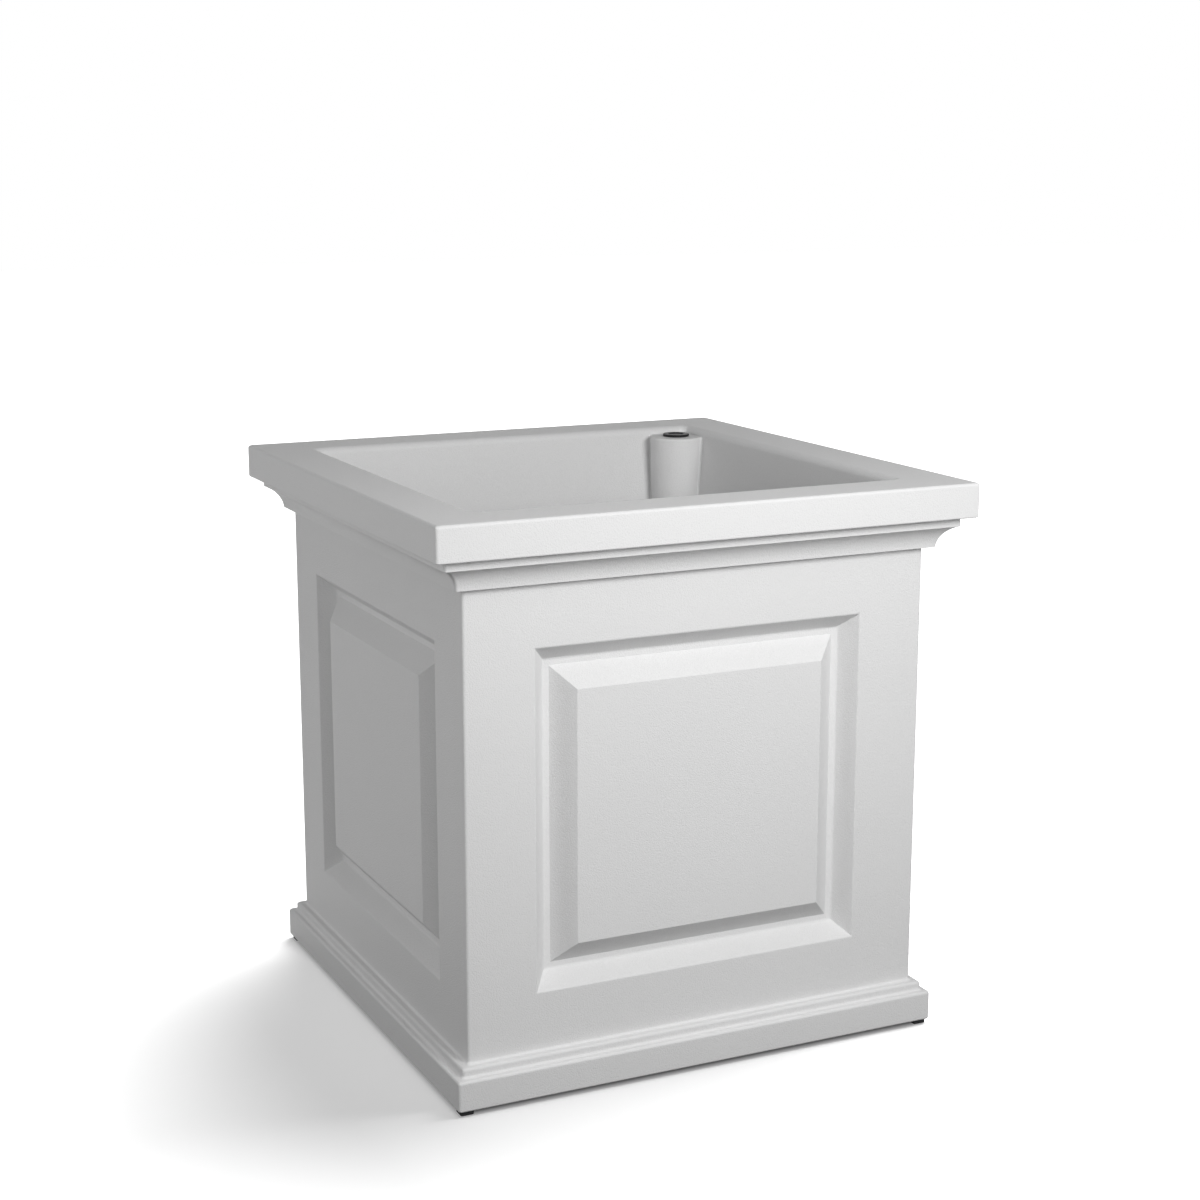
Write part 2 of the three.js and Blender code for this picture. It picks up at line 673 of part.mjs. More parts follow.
place('planter_shell', planterShell(), whiteMoulding.clone(), 0, 0, 0);
place('fill_plug', plug(), blackPlug.clone(), columnAxis, columnAxis, columnTopZ + SEAT_GAP);
place('drain_plug', plug(), blackPlug.clone(), 0, drainPlugY, drainZ).rotation.x = towardsBack;
place('drain_washer', washer(), rubber.clone(), 0, washerY, drainZ).rotation.x = towardsBack;
for (const [corner, [sideX, sideY]] of Object.entries(corners)) {
  place(`foot_pad_${corner}`, footPad(), rubber.clone(), sideX * padAxis, sideY * padAxis, 0);
}

export default planter;
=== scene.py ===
"""Visible model of a square self-watering floor planter: a white double-walled moulding with raised
panels, black plugs, a rubber washer and foot pads. Every length is in metres, in the frame of the CAD
model: the origin is on the floor under the centre, +Z is up and the front face looks along -Y."""

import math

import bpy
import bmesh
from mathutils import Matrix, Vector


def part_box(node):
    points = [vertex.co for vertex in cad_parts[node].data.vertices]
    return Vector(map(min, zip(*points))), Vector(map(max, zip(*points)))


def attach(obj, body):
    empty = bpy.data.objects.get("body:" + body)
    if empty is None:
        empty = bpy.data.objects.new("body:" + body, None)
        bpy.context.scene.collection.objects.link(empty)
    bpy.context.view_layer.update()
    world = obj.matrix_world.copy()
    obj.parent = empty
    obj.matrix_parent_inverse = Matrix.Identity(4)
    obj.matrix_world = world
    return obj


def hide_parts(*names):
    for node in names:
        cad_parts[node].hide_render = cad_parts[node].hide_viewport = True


bl_info = {
    "name": "Square floor planter",
    "version": (1, 0, 0),
    "blender": (4, 5, 0),
    "location": "3D View > Sidebar > Planter",
    "description": "Builds a moulded floor planter with raised panels, its plugs, washer and foot pads",
    "category": "Add Mesh",
}

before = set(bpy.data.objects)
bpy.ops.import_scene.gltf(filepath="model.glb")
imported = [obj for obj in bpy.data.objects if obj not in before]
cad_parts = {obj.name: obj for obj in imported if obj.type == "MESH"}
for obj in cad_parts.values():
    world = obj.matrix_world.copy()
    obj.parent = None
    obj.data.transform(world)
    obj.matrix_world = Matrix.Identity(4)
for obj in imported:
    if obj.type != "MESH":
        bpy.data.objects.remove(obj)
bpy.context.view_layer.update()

MM = 0.001
SHELL_LOW, SHELL_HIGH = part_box("planter_shell")
FILL_LOW, FILL_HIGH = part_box("fill_plug")
DRAIN_LOW, DRAIN_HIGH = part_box("drain_plug")
WASHER_LOW, WASHER_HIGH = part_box("drain_washer")
PADS = ["foot_pad_front_left", "foot_pad_front_right", "foot_pad_back_left", "foot_pad_back_right"]
PAD_LOW, PAD_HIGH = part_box("foot_pad_back_right")
PAD_PLACE = ((PAD_LOW[0] + PAD_HIGH[0]) / 2, (PAD_LOW[1] + PAD_HIGH[1]) / 2, 0.0)
PAD_HALF = (PAD_HIGH[0] - PAD_LOW[0]) / 2

CREASE = math.radians(28)       # a sharper turn than this stays a crisp edge
OVERRUN = 1 * MM                # how far a cut runs past the face that it opens
WELD = 0.001 * MM               # points of a lathed body closer than this are one
FLAT_FACES_FIRST = 100          # weight of a face's area in the normals of its points
QUARTER_TURN = math.pi / 2
UPRIGHT = Matrix()
TO_FRONT = Matrix.Rotation(QUARTER_TURN, 4, "X")    # turns +Z to -Y
TO_BACK = Matrix.Rotation(-QUARTER_TURN, 4, "X")    # turns +Z to +Y
WELL_FOOT_RADIUS = 4 * MM
WELL_EDGE_RADIUS = 2 * MM
PAN_FOOT_RADIUS = 1.5 * MM
BORE_EDGE = 0.4 * MM
PLUG_SOFT_EDGE = 0.25 * MM

PEBBLE_HEIGHT = 0.9             # shares of the grain's height
RIPPLE_HEIGHT = 0.5
RIPPLE_FINENESS = 0.6           # ripples for every pebble
SPECK_SHARE = 0.7               # shares of the grain's tone
SPECK_MIDDLE = 0.45
DRIFT_SHARE = 0.4

CAMERA_PLACE = (-0.84698, -1.79569, 0.79727)
CAMERA_TURN = (78.021, 0.0, -25.449)
CAMERA_LENS = 64.94
CAMERA_SENSOR = 36.0

LAMP_AIM = Vector((0.0, 0.0, 0.25))
LAMPS = {
    "key": {"azimuth": 7, "elevation": 28, "distance": 1.4, "size": 0.5, "power": 10.6},
    "front": {"azimuth": -5, "elevation": 28, "distance": 1.4, "size": 1.4, "power": 4.9},
    "left": {"azimuth": -90, "elevation": 15, "distance": 2.3, "size": 1.3, "power": 13.0},
    "back": {"azimuth": 150, "elevation": 5, "distance": 2.3, "size": 1.3, "power": 4.2},
}
# Very soft, for an even floor out to the horizon and a shadow that fades quickly.
FLOOR_SUN = {"azimuth": 115, "elevation": 55, "distance": 0.25, "power": 5.4, "angle": math.radians(50)}
WHITE = (1.0, 1.0, 1.0, 1.0)
WORLD_STRENGTH = 0.15
FLOOR_REACH = 12.0
FLOOR_COLOUR = (0.02, 0.02, 0.02, 1.0)
FLOOR_SEEN_COLOUR = (0.8, 0.8, 0.8, 1.0)
FLOOR_GLOW = 0.43
# Painted contact shadow: the floor's glow fades out near the plinth's edge, so the floor is darker there
# whatever the lamps do.
PAINTED_CONTACT_SHADE = (-10 * MM, 6 * MM)   # the floor near the plinth's edge darkens between these


# ---- Settings

def mm(name, millimetres, description):
    return bpy.props.FloatProperty(
        name=name, description=description, default=millimetres * MM, min=0, unit="LENGTH", precision=4)


def slope(name, degrees, description):
    return bpy.props.FloatProperty(
        name=name, description=description, default=math.radians(degrees), min=0, unit="ROTATION")


def whole(name, count, description):
    return bpy.props.IntProperty(name=name, description=description, default=count, min=1)


def colour(name, value, description):
    return bpy.props.FloatVectorProperty(
        name=name, description=description, default=value, min=0, max=1, size=3, subtype="COLOR")


class PlanterCrown(bpy.types.PropertyGroup):
    """Rim, band and cove; each projection is measured from the flat side."""
    wall: mm("Wall", 3.5, "Every moulded wall")
    corner_radius: mm("Corner radius", 2.5, "Upright outer corners")
    rim_projection: mm("Rim projection", 34.9, "Rim past the flat side")
    rim_face: mm("Rim face", 31, "Height of the rim's face")
    rim_top_radius: mm("Rim top radius", 3, "Rim's upper edge")
    rim_lower_radius: mm("Rim lower radius", 1.5, "Rim's lower edge")
    band_projection: mm("Band projection", 23.7, "Band past the flat side")
    band_face: mm("Band face", 8.6, "Height of the band")
    cove_height: mm("Cove height", 19.8, "Hollow under the band")
    cove_radius: mm("Cove radius", 22.7, "Radius of the hollow")
    cove_foot_projection: mm("Cove foot projection", 8.6, "Cove's foot past the flat side")


class PlanterPlinth(bpy.types.PropertyGroup):
    """Stepped base, from the floor up."""
    projection: mm("Projection", 14, "Plinth past the flat side")
    height: mm("Height", 27.5, "Up to the first ledge")
    lower_radius: mm("Lower radius", 2, "Lower outer edge")
    step_projection: mm("Step projection", 7.7, "Step past the flat side")
    step_height: mm("Step height", 8.3, "First ledge to second ledge")
    step_radius: mm("Ledge radius", 2.8, "Edge of each ledge")
    step_fillet: mm("Ledge fillet", 2.6, "Hollow behind each ledge")
    pan_margin: mm("Pan margin", 68, "Plinth's face to the raised pan")
    pan_depth: mm("Pan depth", 5, "Rise of the pan underneath")
    pan_corner_radius: mm("Pan corner radius", 24, "Corners of the pan")


class PlanterPanel(bpy.types.PropertyGroup):
    """Raised panel on each side."""
    stile_width: mm("Stile width", 63.4, "Flat side beside the recess")
    lower_rail: mm("Lower rail", 52.7, "Second ledge up to the recess")
    upper_rail: mm("Upper rail", 55.1, "Recess up to the soffit")
    border: mm("Border", 38.3, "Recess's edge to the raised field")
    groove_depth: mm("Groove depth", 16, "Depth of the recess")
    groove_slope: slope("Groove slope", 50, "Groove's side from the flat side")
    bevel_width: mm("Bevel width", 19, "Slope round the raised field")
    edge_radius: mm("Edge radius", 2.4, "Flat side to groove")
    groove_radius: mm("Groove radius", 4, "Groove's side to its floor")
    field_radius: mm("Field radius", 1, "Edge of the raised field")
    arris: mm("Arris", 0.45, "Softening of crisp edges")


class PlanterLiner(bpy.types.PropertyGroup):
    """Inside of the planter, with its fill column and wick well."""
    rim_ledge: mm("Rim ledge", 46, "Flat top of the rim")
    opening_radius: mm("Opening radius", 7.5, "Soft inner edge of the rim")
    draft: slope("Draft", 4.2, "Lean of the inner walls")
    corner_radius: mm("Corner radius", 6, "Upright corners of the liner")
    floor_radius: mm("Floor radius", 12, "Foot of the walls")
    reservoir_height: mm("Reservoir height", 106, "Underside to liner's floor")
    column_diameter: mm("Column diameter", 53, "Fill column at its top")
    column_draft: slope("Column draft", 1.5, "Lean of the fill column")
    column_drop: mm("Column drop", 7.5, "Rim top to column top")
    column_fillet: mm("Column fillet", 2, "Hollow between column and walls")
    column_edge_radius: mm("Column edge radius", 2, "Upper edge of the column")
    well_width: mm("Well width", 110, "Wick well at its top")
    well_draft: slope("Well draft", 6, "Lean of the well's walls")
    well_corner_radius: mm("Well corner radius", 14, "Upright corners of the well")
    slot_width: mm("Slot width", 6, "Each slot in the well")
    slot_height: mm("Slot height", 26, "Each slot in the well")
    slot_pitch: mm("Slot pitch", 20, "Slot to slot")
    slots_per_side: whole("Slots per side", 3, "Slots in each wall")
    slot_sill: mm("Slot sill", 5, "Well's floor up to the slots")


class PlanterFittings(bpy.types.PropertyGroup):
    """Plugs, washer and foot pads."""
    bore_diameter: mm("Bore diameter", 20.4, "Holes for the plugs")
    bore_clearance: mm("Bore clearance", 0.3, "Plug's stem to its bore")
    plug_head_thickness: mm("Plug head thickness", 2.3, "Head of a plug")
    plug_edge_radius: mm("Plug edge radius", 0.8, "Edge of a plug's head")
    plug_rim_width: mm("Plug rim width", 6, "Edge to dish")
    plug_dish_depth: mm("Plug dish depth", 1, "Dish in a plug's head")
    plug_web: mm("Plug web", 2.2, "Thickness under the dish")
    plug_stem_wall: mm("Plug stem wall", 1.8, "Wall of the hollow stem")
    plug_tip_chamfer: mm("Plug tip chamfer", 1.2, "Lead-in of the stem")
    washer_edge_radius: mm("Washer edge radius", 0.35, "Soft edges of the washer")
    pad_corner_radius: mm("Pad corner radius", 1.5, "Corners of a foot pad")
    pad_seat_depth: mm("Pad seat depth", 1.2, "Seat of a foot pad")
    pad_seat_clearance: mm("Pad seat clearance", 0.3, "Round a foot pad in its seat")
    pad_edge_radius: mm("Pad edge radius", 0.7, "Soft edge of a foot pad")


class PlanterFinish(bpy.types.PropertyGroup):
    """Colours and surface grain."""
    moulding_colour: colour("Moulding", (0.72, 0.72, 0.72), "White plastic")
    plug_colour: colour("Plug", (0.012, 0.012, 0.013), "Black plug plastic")
    rubber_colour: colour("Rubber", (0.020, 0.020, 0.021), "Washer and foot pads")
    grain_pitch: mm("Grain pitch", 1.2, "Size of the pebbled grain")
    grain_depth: mm("Grain depth", 0.2, "Height of the grain")


class PlanterFacets(bpy.types.PropertyGroup):
    """How finely round stretches are divided."""
    corner: whole("Corners", 5, "Upright corners")
    small_arc: whole("Small arcs", 6, "Edge roundings")
    large_arc: whole("Large arcs", 14, "Cove and rim's mouth")
    column_front: whole("Column front", 48, "Front of the fill column")
    column_levels: whole("Column levels", 10, "Heights along the column")
    round_corner: whole("Round pieces", 24, "Quarter of a plug or washer")


# ---- Geometry node trees

class TreeMaker:
    """Short calls that build a node tree. A value is a socket, a number, a vector or a datablock."""

    def __init__(self, tree):
        self.tree = tree

    def node(self, kind, inputs=None, **settings):
        node = self.tree.nodes.new(kind)
        for key, value in settings.items():
            setattr(node, key, value)
        for key, value in (inputs or {}).items():
            self.feed(node.inputs[key], value)
        return node

    def out(self, kind, inputs=None, **settings):
        """First output of a new node."""
        return self.node(kind, inputs, **settings).outputs[0]

    def feed(self, socket, value):
        if isinstance(value, bpy.types.NodeSocket):
            self.tree.links.new(value, socket)
        else:
            socket.default_value = value

    def math(self, operation, *values):
        return self.out("ShaderNodeMath", dict(enumerate(values)), operation=operation)

    def vector(self, x=0.0, y=0.0, z=0.0):
        return self.out("ShaderNodeCombineXYZ", {0: x, 1: y, 2: z})


class GroupMaker(TreeMaker):
    """A new node group with its named inputs and outputs."""

    def __init__(self, name, kind, inputs, outputs):
        super().__init__(bpy.data.node_groups.new(name, kind))
        interface = self.tree.interface
        for label, kind_of_value, default in inputs:
            socket = interface.new_socket(label, in_out="INPUT", socket_type="NodeSocket" + kind_of_value)
            if default is not None:
                socket.default_value = default
        for label, kind_of_value in outputs:
            interface.new_socket(label, in_out="OUTPUT", socket_type="NodeSocket" + kind_of_value)
        self.entry = self.node("NodeGroupInput").outputs
        self.exit = self.node("NodeGroupOutput").inputs

    def shape_done(self, geometry):
        """Puts out the realized geometry in the tree's material."""
        body = self.out("GeometryNodeRealizeInstances", {0: geometry})
        material = self.entry["Material"]
        self.feed(self.exit[0], self.out("GeometryNodeSetMaterial", {"Geometry": body, "Material": material}))
        return self.tree


def lathe_tree():
    """Carries a profile round a rectangle with rounded corners. A profile point holds its distance
    out, the radius of the corners there and its height. A half width of nothing closes the body."""
    make = GroupMaker("lathe_tree", "GeometryNodeTree", [
        ("Profile", "Object", None),
        ("Width", "Float", 0.0),
        ("Length", "Float", 0.0),
        ("Steps", "Int", 4),
        ("Material", "Material", None),
    ], [("Geometry", "Geometry")])
    entry = make.entry
    calc = make.math
    profile = make.node("GeometryNodeObjectInfo", {"Object": entry["Profile"]}).outputs["Geometry"]
    count = make.node("GeometryNodeAttributeDomainSize", {0: profile}).outputs["Point Count"]
    per_corner = calc("ADD", entry["Steps"], 1)
    around = calc("MULTIPLY_ADD", per_corner, 4, 1)
    grid = make.out("GeometryNodeMeshGrid", {"Vertices X": around, "Vertices Y": count})
    index = make.out("GeometryNodeInputIndex")
    ring = calc("FLOOR", calc("DIVIDE", calc("ADD", index, 0.5), count))
    along = calc("SUBTRACT", index, calc("MULTIPLY", ring, count))
    corner = calc("FLOOR", calc("DIVIDE", calc("ADD", ring, 0.5), per_corner))
    within = calc("SUBTRACT", ring, calc("MULTIPLY", corner, per_corner))
    quarter = calc("ADD", corner, calc("DIVIDE", within, entry["Steps"]))
    angle = calc("MULTIPLY", quarter, QUARTER_TURN)
    diagonal = calc("MULTIPLY", calc("ADD", corner, 0.5), QUARTER_TURN)
    position = make.out("GeometryNodeInputPosition")
    wanted = {"Geometry": profile, "Index": along, "Value": position}
    sample = make.out("GeometryNodeSampleIndex", wanted, data_type="FLOAT_VECTOR")
    point = make.node("ShaderNodeSeparateXYZ", {0: sample}).outputs
    half_x = calc("MULTIPLY_ADD", entry["Width"], 0.5, point["X"])
    half_y = calc("MULTIPLY_ADD", entry["Length"], 0.5, point["X"])
    radius = calc("MINIMUM", point["Y"], calc("MINIMUM", half_x, half_y))

    def ordinate(half, turn):
        sign = calc("SIGN", calc(turn, diagonal))
        straight = calc("MULTIPLY", sign, calc("SUBTRACT", half, radius))
        return calc("MULTIPLY_ADD", radius, calc(turn, angle), straight)

    place = make.vector(ordinate(half_x, "COSINE"), ordinate(half_y, "SINE"), point["Z"])
    swept = make.out("GeometryNodeSetPosition", {"Geometry": grid, "Position": place})
    return make.shape_done(make.out("GeometryNodeMergeByDistance", {"Geometry": swept, "Distance": WELD}))


def row_tree():
    """Copies of a piece in a row along X, and the whole row again at each side of a square."""
    make = GroupMaker("row_tree", "GeometryNodeTree", [
        ("Piece", "Object", None),
        ("Pitch", "Float", 0.0),
        ("Count", "Int", 1),
        ("Sides", "Int", 4),
        ("Material", "Material", None),
    ], [("Geometry", "Geometry")])
    entry = make.entry
    calc = make.math
    piece = make.node("GeometryNodeObjectInfo", {"Object": entry["Piece"]}).outputs["Geometry"]
    middle = calc("DIVIDE", calc("SUBTRACT", entry["Count"], 1), 2)
    row = make.out("GeometryNodeMeshLine", {
        "Count": entry["Count"],
        "Start Location": make.vector(calc("MULTIPLY", middle, calc("MULTIPLY", entry["Pitch"], -1))),
        "Offset": make.vector(entry["Pitch"]),
    })
    copies = make.out("GeometryNodeInstanceOnPoints", {"Points": row, "Instance": piece})
    one_side = make.out("GeometryNodeRealizeInstances", {0: copies})
    corners = make.out("GeometryNodeMeshLine", {"Count": entry["Sides"], "Offset": (0.0, 0.0, 0.0)})
    turn = make.vector(z=calc("MULTIPLY", make.out("GeometryNodeInputIndex"), QUARTER_TURN))
    placement = {"Points": corners, "Instance": one_side, "Rotation": turn}
    return make.shape_done(make.out("GeometryNodeInstanceOnPoints", placement))


def placed(name, data):
    """New object at the origin."""
    item = bpy.data.objects.new(name, data)
    bpy.context.scene.collection.objects.link(item)
    return item


def grown(name, tree_maker, values):
    """Plain mesh object that a geometry node tree makes with the named input values."""
    tree = bpy.data.node_groups.get(tree_maker.__name__) or tree_maker()
    carrier = placed(name, bpy.data.meshes.new(name))
    modifier = carrier.modifiers.new("grow", "NODES")
    modifier.node_group = tree
    sockets = {item.name: item.identifier for item in tree.interface.items_tree if item.in_out == "INPUT"}
    for label, value in values.items():
        if value is not None:
            modifier[sockets[label]] = value
    return settle(carrier)


def settle(piece):
    """Turns a piece with live modifiers into a plain mesh and takes the modifiers off."""
    bpy.context.view_layer.update()
    graph = bpy.context.evaluated_depsgraph_get()
    mesh = bpy.data.meshes.new_from_object(piece.evaluated_get(graph), preserve_all_data_layers=True,
                                           depsgraph=graph)
    piece.modifiers.clear()
    old = piece.data
    piece.data = mesh
    bpy.data.meshes.remove(old)
    mesh.name = piece.name
    if not mesh.polygons:
        raise RuntimeError(f"{piece.name} came out empty")
    return piece


def discard(*helpers):
    for helper in helpers:
        mesh = helper.data
        bpy.data.objects.remove(helper)
        bpy.data.meshes.remove(mesh)


# ---- Outlines and bodies

def arc(centre_x, centre_y, radius, start, end, count):
    """Points of an arc, angles in degrees, both ends included."""
    angles = [math.radians(start + (end - start) * i / count) for i in range(count + 1)]
    return [Vector((centre_x + radius * math.cos(a), centre_y + radius * math.sin(a))) for a in angles]


def arc_between(start, end, radius, count):
    """Arc of a given radius, with its centre on the right of the line from start to end."""
    chord = end - start
    rise = math.sqrt(radius ** 2 - chord.length_squared / 4)
    centre = (start + end) / 2 + Vector((chord.y, -chord.x)).normalized() * rise
    angles = [math.degrees(math.atan2(*(point - centre).yx)) for point in (start, end)]
    return arc(*centre, radius, *angles, count)


def rounded_corner(before, corner, after, radius, count):
    """Arc that rounds a corner, given a point on the run before it and one on the run after it."""
    back = (before - corner).normalized()
    ahead = (after - corner).normalized()
    half_angle = math.acos(max(-1.0, min(1.0, back.dot(ahead)))) / 2
    reach = radius / math.tan(half_angle)
    centre = corner + (back + ahead).normalized() * radius / math.sin(half_angle)
    first = corner + back * reach - centre
    last = corner + ahead * reach - centre
    sweep = math.atan2(first.x * last.y - first.y * last.x, first.dot(last))
    turns = [Matrix.Rotation(sweep * i / count, 2) for i in range(count + 1)]
    return [centre + turn @ first for turn in turns]


def eased(corners, count):
    """Open outline through corners, each its x, its y and, where it is rounded, the radius."""
    points = [Vector(corner[:2]) for corner in corners]
    outline = []
    for i, corner in enumerate(corners):
        if any(corner[2:]):
            outline += rounded_corner(*points[i - 1:i + 2], corner[2], count)
        else:
            outline.append(points[i])
    return outline


def lathed(name, points, corner_radius, steps, material=None, width=0.0, length=0.0):
    """Body carried round a square, a circle or a rectangle, with its faces pointing out. A point is
    its distance out and its height; corner_radius is a number, or a function of the distance out."""
    radius_at = corner_radius if callable(corner_radius) else lambda out: corner_radius
    mesh = bpy.data.meshes.new("profile")
    mesh.from_pydata([(out, radius_at(out), z) for out, z in points], [], [])
    helper = placed("profile", mesh)
    values = {"Profile": helper, "Width": width, "Length": length, "Steps": steps, "Material": material}
    piece = grown(name, lathe_tree, values)
    discard(helper)
    return face_out(piece)


def turned(name, points, at, material=None):
    """Round body about +Z."""
    return lathed(name, points, lambda out: out, at.facets.round_corner, material)


def closed(points):
    """The profile, started and ended on the axis."""
    return [(0.0, points[0][1]), *points, (0.0, points[-1][1])]


def face_out(piece):
    shape = bmesh.new()
    shape.from_mesh(piece.data)
    bmesh.ops.recalc_face_normals(shape, faces=shape.faces)
    if shape.calc_volume(signed=True) < 0:
        bmesh.ops.reverse_faces(shape, faces=shape.faces)
    shape.to_mesh(piece.data)
    shape.free()
    return piece


def loft(name, levels):
    """Closed body through a stack of outlines with as many points each, lowest first."""
    shape = bmesh.new()
    rings = [[shape.verts.new((*point, z)) for point in outline] for outline, z in levels]
    shape.faces.new(rings[0])
    shape.faces.new(rings[-1])
    for lower, upper in zip(rings, rings[1:]):
        for i, vertex in enumerate(lower):
            after = (i + 1) % len(lower)
            shape.faces.new((vertex, lower[after], upper[after], upper[i]))
    mesh = bpy.data.meshes.new(name)
    shape.to_mesh(mesh)
    shape.free()
    return face_out(placed(name, mesh))


def moved(piece, place, turn=UPRIGHT):
    """The piece's mesh, turned and then carried to a place."""
    piece.data.transform(Matrix.Translation(place) @ turn)
    return piece


def repeated(piece, sides=4, count=1, pitch=0.0, material=None):
    """The piece in a row, and the row again at each side of the square."""
    values = {"Piece": piece, "Pitch": pitch, "Count": count, "Sides": sides, "Material": material}
    copies = grown(piece.name, row_tree, values)
    discard(piece)
    return copies


def carved(body, operation, *tools):
    """The body joined with, or cut by, each tool in turn."""
    for tool in tools:
        modifier = body.modifiers.new(tool.name, "BOOLEAN")
        modifier.solver = "MANIFOLD"
        modifier.operation = operation
        modifier.object = tool
    settle(body)
    discard(*tools)
    return body


def shaded(piece):
    """Smooth shading that breaks at creases and keeps the flat faces flat."""
    piece.data.shade_smooth()
    piece.data.set_sharp_from_angle(angle=CREASE)
    weights = piece.modifiers.new("flat faces first", "WEIGHTED_NORMAL")
    weights.keep_sharp = True
    weights.weight = FLAT_FACES_FIRST
    return settle(piece)


# ---- Places worked out from the settings

class Places:
    """The settings, with the half widths and heights that follow from them and the CAD model's box."""

    def __init__(self, scene):
        self.crown = crown = scene.planter_crown
        self.base = base = scene.planter_plinth
        self.panel = panel = scene.planter_panel
        self.liner = liner = scene.planter_liner
        self.fittings = scene.planter_fittings
        self.finish = scene.planter_finish
        self.facets = facets = scene.planter_facets
        self.small_arc = facets.small_arc
        self.large_arc = facets.large_arc
        self.corner = facets.corner
        self.wall = crown.wall
        self.top = SHELL_HIGH[2]
        self.foot = SHELL_LOW[2]
        self.rim = SHELL_HIGH[0]
        self.body = self.rim - crown.rim_projection
        self.band = self.body + crown.band_projection
        self.cove_foot = self.body + crown.cove_foot_projection
        self.plinth = self.body + base.projection
        self.step = self.body + base.step_projection
        self.mouth = self.rim - liner.rim_ledge
        self.opening = self.mouth - liner.opening_radius
        self.plinth_ledge = self.foot + base.height
        self.step_ledge = self.plinth_ledge + base.step_height
        self.rim_soffit = self.top - crown.rim_face
        self.band_foot = self.rim_soffit - crown.band_face
        self.soffit = self.band_foot - crown.cove_height
        self.cove = (Vector((self.cove_foot, self.soffit)), Vector((self.band, self.band_foot)))
        self.panel_width = 2 * (self.body - panel.stile_width)
        panel_foot = self.step_ledge + panel.lower_rail
        self.panel_height = self.soffit - panel.upper_rail - panel_foot
        self.panel_centre = panel_foot + self.panel_height / 2
        self.opening_round = self.top - liner.opening_radius
        self.liner_floor = self.foot + liner.reservoir_height
        self.pan_top = self.foot + base.pan_depth
        self.well_floor = self.pan_top + crown.wall * 2
        self.column_axis = (FILL_LOW[0] + FILL_HIGH[0]) / 2
        self.column_top = self.top - liner.column_drop
        self.drain = (DRAIN_LOW[2] + DRAIN_HIGH[2]) / 2
        self.bore = self.fittings.bore_diameter / 2

    def liner_half(self, z):
        return self.opening - (self.opening_round - z) * math.tan(self.liner.draft)

    def column_radius(self, z):
        lean = math.tan(self.liner.column_draft)
        return self.liner.column_diameter / 2 - (self.column_top - z) * lean


# ---- The white moulding

def outside_body(at):
    """Plinth, flat sides, cove, band and rim."""
    crown = at.crown
    base = at.base
    soft = at.panel.arris
    cove = arc_between(*at.cove, crown.cove_radius, at.large_arc)
    outline = eased([
        (0.0, at.foot),
        (at.plinth, at.foot, base.lower_radius),
        (at.plinth, at.plinth_ledge, base.step_radius),
        (at.step, at.plinth_ledge, base.step_fillet),
        (at.step, at.step_ledge, base.step_radius),
        (at.body, at.step_ledge, base.step_fillet),
        (at.body, at.soffit, soft),
        (*cove[0], soft),
        *cove[1:-1],
        (*cove[-1], soft),
        (at.band, at.rim_soffit, soft),
        (at.rim, at.rim_soffit, crown.rim_lower_radius),
        (at.rim, at.top, crown.rim_top_radius),
        (0.0, at.top),
    ], at.small_arc)
    return lathed("planter_body", outline, crown.corner_radius, at.corner)


def panel_section(at):
    """Recess round the raised field, x the distance in and y the depth: a point outside, the edge, the
    foot of the side, the foot of the bevel, the field's edge and a point on the field."""
    panel = at.panel
    side_run = panel.groove_depth / math.tan(panel.groove_slope)
    return [
        Vector((-panel.border, 0.0)),
        Vector((0.0, 0.0)),
        Vector((side_run, panel.groove_depth)),
        Vector((panel.border - panel.bevel_width, panel.groove_depth)),
        Vector((panel.border, 0.0)),
        Vector((2 * panel.border, 0.0)),
    ]


def framed(name, section, at, corner_radius):
    """A closed section carried round the panel's rectangle, on all four sides of the planter."""
    points = [-point for point in [*section, section[0]]]
    frame_piece = lathed(name, points, corner_radius, at.corner, width=at.panel_width,
                         length=at.panel_height)
    return repeated(moved(frame_piece, (0.0, -at.body, at.panel_centre), TO_FRONT))


def panel_cut(at):
    """Recess with a rounded edge, a hollow groove and the field's bevel."""
    panel = at.panel
    run = panel_section(at)
    small = at.small_arc
    section = []
    radii = (panel.edge_radius, panel.groove_radius, panel.arris, panel.field_radius)
    for i, (radius, count) in enumerate(zip(radii, (small, at.large_arc, small, small))):
        section += rounded_corner(*run[i:i + 3], radius, count)
    proud = Vector((0.0, -OVERRUN))
    return framed("panel_cut", [section[0] + proud, *section, section[-1] + proud], at, panel.arris)


def offset_line(start, end, distance):
    """The run from start to end, moved to the left of its direction."""
    along = (end - start).normalized()
    across = Vector((-along.y, along.x)) * distance
    return start + across, end + across


def panel_backing(at):
    """Room that the panel's wall takes up behind the groove."""
    edge, side_foot, bevel_foot, field_edge = panel_section(at)[1:5]
    deep = at.panel.groove_depth + at.wall
    near = at.wall - OVERRUN
    side = offset_line(edge, side_foot, at.wall)
    bevel = offset_line(bevel_foot, field_edge, at.wall)

    def at_depth(line, depth):
        start, end = line
        return start.lerp(end, (depth - start.y) / (end.y - start.y))

    section = [at_depth(side, near), at_depth(side, deep), at_depth(bevel, deep), at_depth(bevel, near)]
    return framed("panel_backing", section, at, 0.0)


def liner_corner(at):
    return lambda half: at.liner.corner_radius + max(0.0, half - at.opening)


def liner_cavity(at):
    """Planting space, from the fillets at its floor to the soft inner edge of the rim."""
    liner = at.liner
    fillet_z = at.liner_floor + liner.floor_radius
    fillet_centre = at.liner_half(fillet_z) - liner.floor_radius
    points = [
        *arc(fillet_centre, fillet_z, liner.floor_radius, -90, 0, at.small_arc),
        *arc(at.mouth, at.opening_round, liner.opening_radius, 180, 90, at.large_arc),
        (at.mouth, at.top + OVERRUN),
    ]
    return lathed("liner_cavity", closed(points), liner_corner(at), at.corner)


